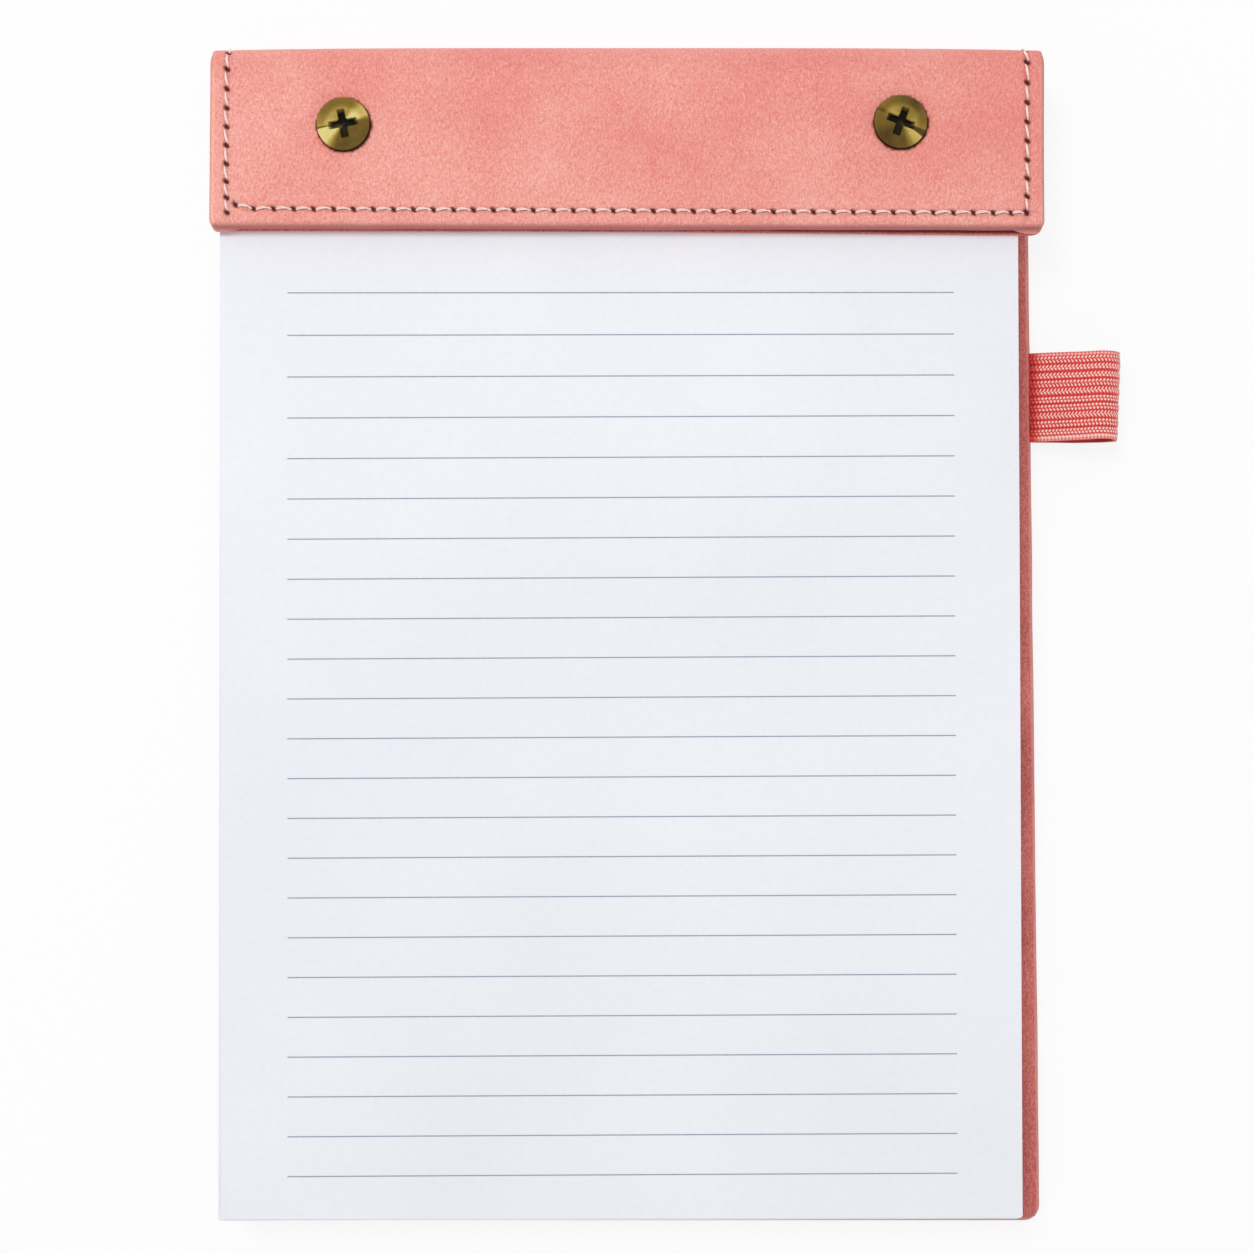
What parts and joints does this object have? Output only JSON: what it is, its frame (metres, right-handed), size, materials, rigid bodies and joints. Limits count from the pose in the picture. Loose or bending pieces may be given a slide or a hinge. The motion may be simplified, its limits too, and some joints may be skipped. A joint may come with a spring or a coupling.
{
  "type": "to-do list notebook",
  "caption": "Ruled A5 note pad clamped by two brass binding posts in a stitched leatherette case with a short top flap and an elastic pen loop.",
  "frame": {"origin": "centre of the back's outer face, midway between the case's side edges and between its foot edge and its spine", "axes": "+X across the case towards the pen loop, +Y along the sheets towards the spine and flap, +Z out of the back's outer face up through the sheets to the flap"},
  "size_m": [0.1695, 0.2189, 0.0186],
  "materials": {
    "leatherette": "fine matt grain, salmon pink",
    "lining_leatherette": "fine matt grain, deeper pink",
    "greyboard": "bare pressed board",
    "card": "smooth grey card",
    "paper": "smooth white writing paper",
    "ruling_ink": "thin blue-grey print",
    "brass": "turned and brushed, aged gold",
    "elastic": "ribbed knit, red with pale pink stitches",
    "thread": "twisted sewing thread, pale pink"
  },
  "bodies": {
    "root": {"outer_cover": "leatherette", "lining": "lining_leatherette", "back_board": "greyboard", "spine_board": "greyboard", "flap_board": "greyboard", "backing_card": "card", "sheets": "paper", "ruled_lines": "ruling_ink", "posts": "brass", "screws": "brass", "pen_loop": "elastic", "stitching": "thread"}
  },
  "joints": []
}
